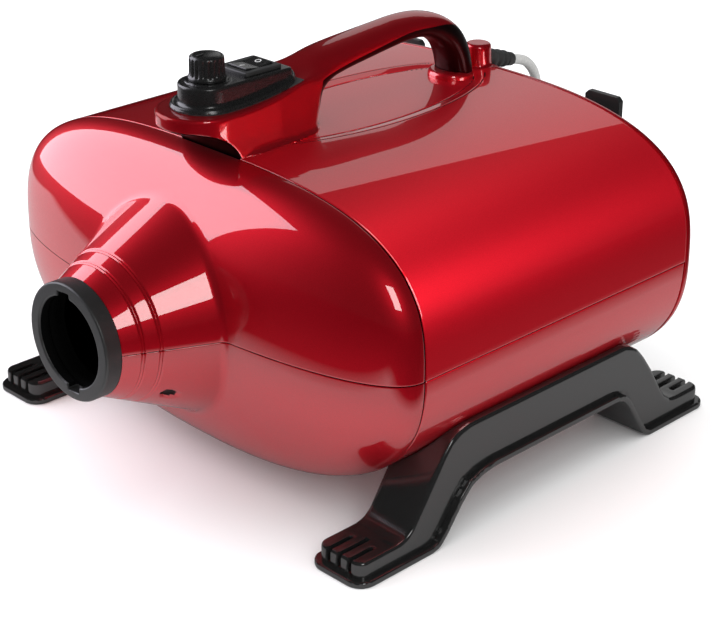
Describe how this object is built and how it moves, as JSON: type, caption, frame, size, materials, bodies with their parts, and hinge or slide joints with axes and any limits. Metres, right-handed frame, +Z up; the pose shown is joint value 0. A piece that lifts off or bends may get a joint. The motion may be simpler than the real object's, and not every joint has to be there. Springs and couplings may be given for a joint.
{
  "type": "pet dryer",
  "caption": "Forced-air dryer with a round hose outlet in front, a carrying handle with speed knob and rocker switch on top, rear intake filters and a mains cord, standing on skid feet.",
  "frame": {"origin": "on the floor, under the middle of the object without its cord", "axes": "-Y is the front, where the outlet faces; +X is the right as seen from behind the outlet; +Z up"},
  "size_m": [0.354, 0.517, 0.2628],
  "materials": {
    "red_shell": "glossy moulded red",
    "dark_red_grip": "dark maroon, slightly glossy",
    "black_plastic": "fine textured black",
    "black_satin": "satin black",
    "black_rubber": "soft black rubber",
    "grey_cable": "pale grey flexible jacket",
    "ivory_plastic": "ivory",
    "white_mark": "printed white",
    "circuit_board": "green laminate",
    "steel": "zinc-plated steel",
    "aluminium": "cast or spun aluminium",
    "copper_windings": "enamelled copper on laminated steel",
    "brass": "brass",
    "foam": "open-cell foam"
  },
  "bodies": {
    "housing": {"front_cap_upper": "red_shell", "front_cap_lower": "red_shell", "upper_shell": "red_shell", "lower_shell": "red_shell", "rear_bezel": "red_shell", "rear_panel": "black_plastic", "handle_shell": "red_shell", "handle_underside": "dark_red_grip", "control_panel": "black_satin", "panel_gasket": "black_rubber", "potentiometer": "steel", "rocker_housing": "black_satin", "speed_board": "circuit_board", "heat_sink": "aluminium", "terminal_block": "ivory_plastic", "motor_bulkhead": "black_plastic", "motor_cradle": "black_plastic", "motor_mounts": "black_rubber", "fan_cans": "steel", "motor_frames": "aluminium", "stators": "copper_windings", "bearings": "steel", "brush_holders": "brass", "sound_liner": "foam", "outlet_ring": "black_satin", "outlet_seal": "black_rubber", "skid_left": "black_plastic", "skid_right": "black_plastic", "skid_screws": "steel", "shell_screws": "steel", "panel_screws": "steel", "strain_relief": "black_rubber", "cord_clamp": "black_plastic", "cord_lead": "grey_cable", "cord_coil": "grey_cable", "cord_tail": "grey_cable", "plug_body": "grey_cable", "plug_pins": "brass"},
    "knob": {"speed_knob": "black_satin", "knob_pointer": "white_mark"},
    "rocker": {"rocker_key": "black_satin"},
    "left_rotor": {"rotor_left": "steel", "impeller_left": "aluminium"},
    "right_rotor": {"rotor_right": "steel", "impeller_right": "aluminium"},
    "left_filter": {"filter_cover_left": "black_plastic", "filter_foam_left": "foam"},
    "right_filter": {"filter_cover_right": "black_plastic", "filter_foam_right": "foam"}
  },
  "joints": [
    {"name": "speed_knob_turn", "type": "hinge", "parent": "housing", "child": "knob", "pos_m": [0, -0.0825, 0.2475], "axis": [0, 0, -1], "range_deg": [0, 270]},
    {"name": "rocker_tilt", "type": "hinge", "parent": "housing", "child": "rocker", "pos_m": [0, -0.0495, 0.2469], "axis": [1, 0, 0], "range_deg": [-11, 11]},
    {"name": "left_rotor_spin", "type": "hinge", "parent": "housing", "child": "left_rotor", "pos_m": [-0.082, 0, 0.112], "axis": [0, 1, 0], "continuous": true},
    {"name": "right_rotor_spin", "type": "hinge", "parent": "housing", "child": "right_rotor", "pos_m": [0.082, 0, 0.112], "axis": [0, 1, 0], "continuous": true},
    {"name": "left_filter_pull", "type": "slide", "parent": "housing", "child": "left_filter", "axis": [0, 1, 0], "range_m": [0, 0.03]},
    {"name": "right_filter_pull", "type": "slide", "parent": "housing", "child": "right_filter", "axis": [0, 1, 0], "range_m": [0, 0.03]}
  ]
}
